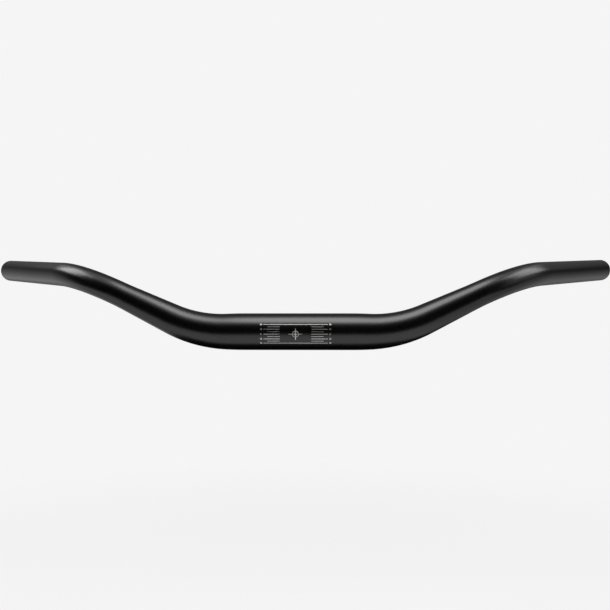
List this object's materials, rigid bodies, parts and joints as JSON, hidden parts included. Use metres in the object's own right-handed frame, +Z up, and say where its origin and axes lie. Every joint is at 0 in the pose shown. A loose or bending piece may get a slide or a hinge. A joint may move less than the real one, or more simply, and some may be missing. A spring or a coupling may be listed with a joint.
{
  "type": "bicycle handlebar",
  "caption": "Riser handlebar bent from one butted aluminium tube, with a thick middle for the stem, tapered risers and swept-back grip ends.",
  "frame": {"origin": "centre of the stem clamp zone, on the tube's axis", "axes": "+X along the clamp zone to the rider's left, which is the right of a view from the front, +Y back towards the rider, +Z up"},
  "size_m": [0.6602, 0.1846, 0.0878],
  "materials": {
    "anodised_aluminium": "sandblasted and black anodised"
  },
  "bodies": {
    "root": {"handlebar": "anodised_aluminium"}
  },
  "joints": []
}
